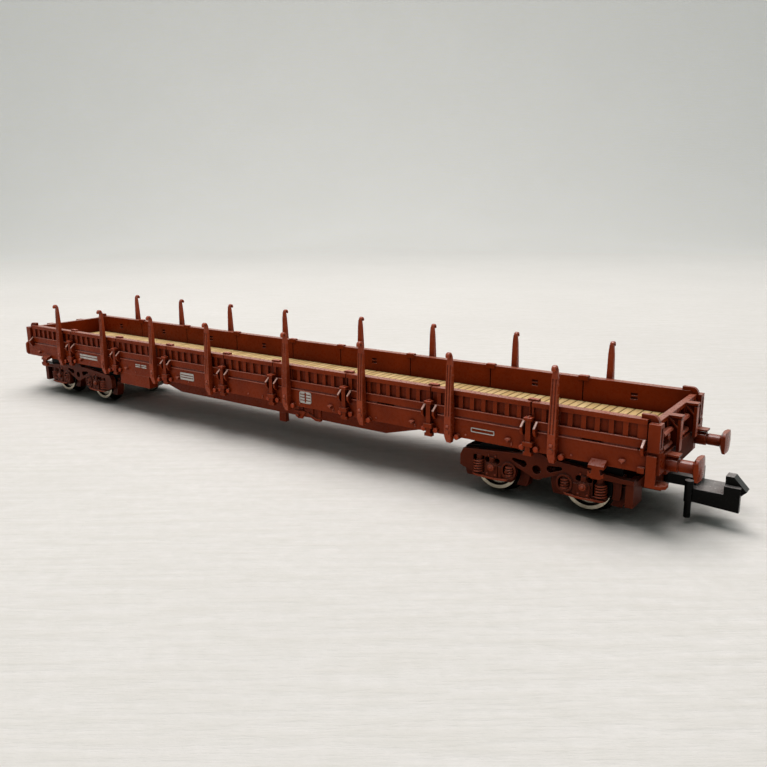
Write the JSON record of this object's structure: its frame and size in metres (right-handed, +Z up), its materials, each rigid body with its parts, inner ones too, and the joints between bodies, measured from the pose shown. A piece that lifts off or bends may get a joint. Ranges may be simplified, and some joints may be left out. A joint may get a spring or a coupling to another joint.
{
  "type": "model flat car",
  "caption": "N-scale model bogie flat car with ribbed drop sides, plug-in stakes, a plank deck, swivelling bogies, turning wheelsets and lifting hook couplers.",
  "frame": {"origin": "on the centre line, midway between the bogies, at the lowest point of the wheel flanges", "axes": "+X along the car to its right end, +Y across to the far side, +Z up"},
  "size_m": [0.131, 0.0182, 0.017],
  "materials": {
    "body_plastic": "satin",
    "deck_plastic": "matt, plank grain",
    "coupler_plastic": "satin",
    "wheel_metal": "nickel plated",
    "steel": "plain"
  },
  "bodies": {
    "wagon": {"underframe": "body_plastic", "side_wall_near": "body_plastic", "side_wall_far": "body_plastic", "end_wall_right": "body_plastic", "end_wall_left": "body_plastic", "corner_posts": "body_plastic", "panel_posts_near": "body_plastic", "panel_posts_far": "body_plastic", "shunter_steps": "body_plastic", "tow_hooks": "body_plastic", "brake_levers": "body_plastic", "equipment_boxes": "body_plastic", "stake_near_1": "body_plastic", "stake_near_2": "body_plastic", "stake_near_3": "body_plastic", "stake_near_4": "body_plastic", "stake_near_5": "body_plastic", "stake_near_6": "body_plastic", "stake_near_7": "body_plastic", "stake_near_8": "body_plastic", "stake_far_1": "body_plastic", "stake_far_2": "body_plastic", "stake_far_3": "body_plastic", "stake_far_4": "body_plastic", "stake_far_5": "body_plastic", "stake_far_6": "body_plastic", "stake_far_7": "body_plastic", "stake_far_8": "body_plastic", "buffer_right_near": "body_plastic", "buffer_right_far": "body_plastic", "buffer_left_near": "body_plastic", "buffer_left_far": "body_plastic", "deck_boards": "deck_plastic", "ballast_plate": "steel", "bogie_pin_right": "steel", "bogie_pin_left": "steel"},
    "bogie_right": {"bogie_frame_right": "body_plastic", "pocket_cover_right": "body_plastic", "coupler_spring_right": "steel"},
    "wheelset_right_outer": {"axle_right_outer": "steel", "wheel_right_outer_near": "wheel_metal", "wheel_right_outer_far": "wheel_metal"},
    "wheelset_right_inner": {"axle_right_inner": "steel", "wheel_right_inner_near": "wheel_metal", "wheel_right_inner_far": "wheel_metal"},
    "coupler_right": {"coupler_right": "coupler_plastic"},
    "bogie_left": {"bogie_frame_left": "body_plastic", "pocket_cover_left": "body_plastic", "coupler_spring_left": "steel"},
    "wheelset_left_outer": {"axle_left_outer": "steel", "wheel_left_outer_near": "wheel_metal", "wheel_left_outer_far": "wheel_metal"},
    "wheelset_left_inner": {"axle_left_inner": "steel", "wheel_left_inner_near": "wheel_metal", "wheel_left_inner_far": "wheel_metal"},
    "coupler_left": {"coupler_left": "coupler_plastic"}
  },
  "joints": [
    {"name": "bogie_swivel_right", "type": "hinge", "parent": "wagon", "child": "bogie_right", "pos_m": [0.0447, 0, 0.005], "axis": [0, 0, 1], "range_deg": [-9, 9]},
    {"name": "wheel_spin_right_outer", "type": "hinge", "parent": "bogie_right", "child": "wheelset_right_outer", "pos_m": [0.0503, 0, 0.0034], "axis": [0, 1, 0], "continuous": true},
    {"name": "wheel_spin_right_inner", "type": "hinge", "parent": "bogie_right", "child": "wheelset_right_inner", "pos_m": [0.0391, 0, 0.0034], "axis": [0, 1, 0], "continuous": true},
    {"name": "coupler_lift_right", "type": "hinge", "parent": "bogie_right", "child": "coupler_right", "pos_m": [0.0551, 0, 0.0043], "axis": [0, -1, 0], "range_deg": [0, 10], "stiffness_Nm_per_rad": 0.00005},
    {"name": "bogie_swivel_left", "type": "hinge", "parent": "wagon", "child": "bogie_left", "pos_m": [-0.0447, 0, 0.005], "axis": [0, 0, 1], "range_deg": [-9, 9]},
    {"name": "wheel_spin_left_outer", "type": "hinge", "parent": "bogie_left", "child": "wheelset_left_outer", "pos_m": [-0.0503, 0, 0.0034], "axis": [0, 1, 0], "continuous": true},
    {"name": "wheel_spin_left_inner", "type": "hinge", "parent": "bogie_left", "child": "wheelset_left_inner", "pos_m": [-0.0391, 0, 0.0034], "axis": [0, 1, 0], "continuous": true},
    {"name": "coupler_lift_left", "type": "hinge", "parent": "bogie_left", "child": "coupler_left", "pos_m": [-0.0551, 0, 0.0043], "axis": [0, 1, 0], "range_deg": [0, 10], "stiffness_Nm_per_rad": 0.00005}
  ]
}
